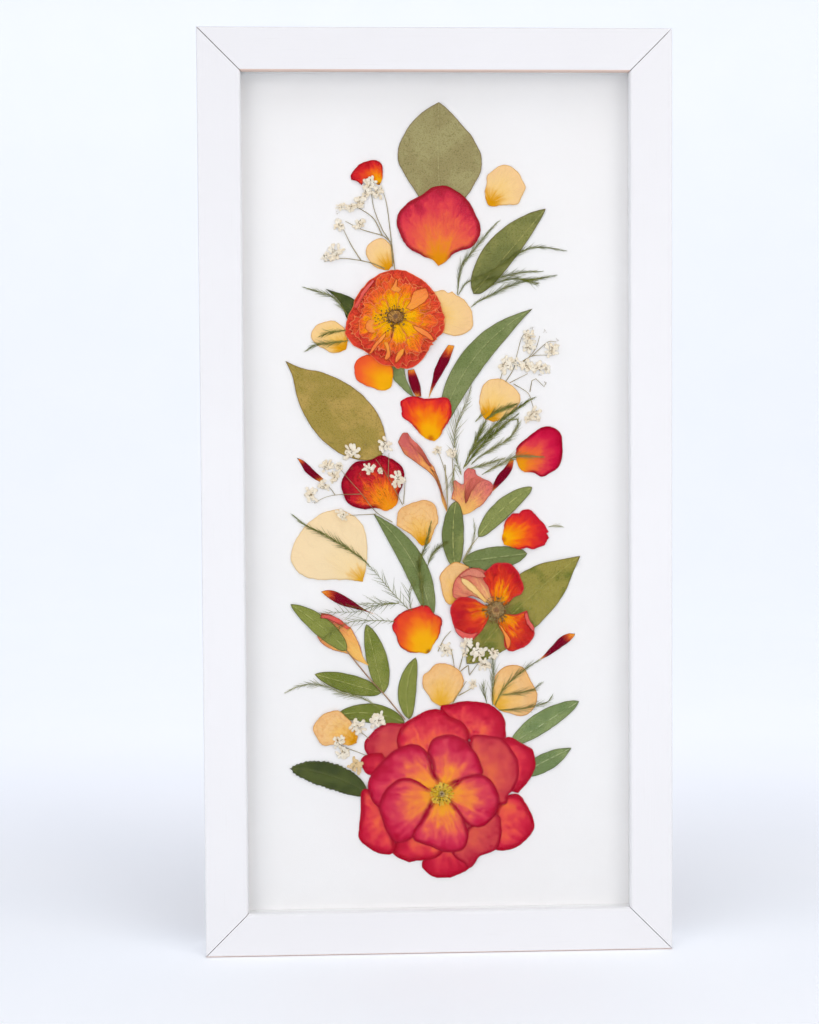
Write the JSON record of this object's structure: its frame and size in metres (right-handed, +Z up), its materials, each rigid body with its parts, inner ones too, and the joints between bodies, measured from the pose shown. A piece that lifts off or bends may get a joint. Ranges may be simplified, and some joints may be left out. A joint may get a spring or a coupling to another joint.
{
  "type": "pressed flower frame",
  "caption": "Tall white box frame with a glazed front: dried leaves, loose petals and two open rose heads lie pressed on a white mount board.",
  "frame": {"origin": "middle of the bottom of the whole frame's box, on the surface that the bottom rail stands on", "axes": "+Z up along the frame's height, -Y out of the glazed front, +X to the right seen from the front"},
  "size_m": [0.23, 0.032, 0.451],
  "materials": {
    "brown_hardboard": "raw hardboard, one smooth face",
    "clear_glass": "clear float glass, polished",
    "zinc_plated_steel": "bright zinc plate",
    "dried_olive_leaf": "dried leaf, olive green, papery, pale midrib",
    "dried_dark_leaf": "dried leaf, dark green, papery",
    "dried_ochre_leaf": "dried leaf, ochre green, papery",
    "white_mount_board": "matt white, fine tooth",
    "brown_stamens": "dried stamens round a hairy seed head",
    "dried_crimson_petal": "dried petal, yellow base to crimson rim, fine veins",
    "dried_orange_petal": "dried petal, yellow base to orange and red rim",
    "dried_cream_petal": "dried petal, cream to yellow, papery",
    "white_lacquered_wood": "white lacquer on wood, satin, faint edge wear",
    "yellow_stamens": "dried stamens round a grey-green seed head",
    "brass_plated_steel": "brass plate, satin",
    "white_spacer": "matt white foam strip"
  },
  "bodies": {
    "root": {"backing_board": "brown_hardboard", "glazing_pane": "clear_glass", "hanger_nail_left": "zinc_plated_steel", "hanger_nail_right": "zinc_plated_steel", "leaf_broad_right": "dried_olive_leaf", "leaf_dark_middle": "dried_dark_leaf", "leaf_eucalyptus": "dried_olive_leaf", "leaf_far_left": "dried_olive_leaf", "leaf_long_left": "dried_olive_leaf", "leaf_long_upper": "dried_olive_leaf", "leaf_lower_right": "dried_olive_leaf", "leaf_lowest_right": "dried_olive_leaf", "leaf_middle_right": "dried_olive_leaf", "leaf_ochre": "dried_ochre_leaf", "leaf_serrated": "dried_dark_leaf", "leaf_top_right": "dried_olive_leaf", "leaf_upright": "dried_olive_leaf", "mount_board": "white_mount_board", "open_rose_heart": "brown_stamens", "open_rose_petal_lower_left": "dried_crimson_petal", "open_rose_petal_lower_right": "dried_orange_petal", "open_rose_petal_upper_left": "dried_cream_petal", "open_rose_petal_upper_right": "dried_crimson_petal", "petal_crimson_right": "dried_crimson_petal", "petal_flame_middle": "dried_orange_petal", "petal_pale_large": "dried_cream_petal", "petal_top": "dried_crimson_petal", "petal_veined_left": "dried_crimson_petal", "rail_bottom": "white_lacquered_wood", "rail_left": "white_lacquered_wood", "rail_right": "white_lacquered_wood", "rail_top": "white_lacquered_wood", "rose_dried_head": "dried_orange_petal", "rose_heart": "yellow_stamens", "rose_petal_bottom": "dried_crimson_petal", "rose_petal_left": "dried_crimson_petal", "rose_petal_outer_bottom_right": "dried_orange_petal", "rose_petal_outer_left": "dried_crimson_petal", "rose_petal_outer_right": "dried_orange_petal", "rose_petal_outer_right_low": "dried_crimson_petal", "rose_petal_outer_top": "dried_crimson_petal", "rose_petal_outer_top_right": "dried_crimson_petal", "rose_petal_right": "dried_crimson_petal", "rose_petal_top": "dried_crimson_petal", "rose_petal_upper_left": "dried_crimson_petal", "sawtooth_hanger": "brass_plated_steel", "spacer_bottom": "white_spacer", "spacer_left": "white_spacer", "spacer_right": "white_spacer", "spacer_top": "white_spacer", "sprig_leaf_left": "dried_olive_leaf", "sprig_leaf_lower": "dried_olive_leaf", "sprig_leaf_right": "dried_olive_leaf", "sprig_leaf_upper": "dried_olive_leaf", "tab_bottom_5": "zinc_plated_steel", "tab_left_1": "zinc_plated_steel", "tab_left_2": "zinc_plated_steel", "tab_right_3": "zinc_plated_steel", "tab_right_4": "zinc_plated_steel", "tab_top_6": "zinc_plated_steel"}
  },
  "joints": []
}
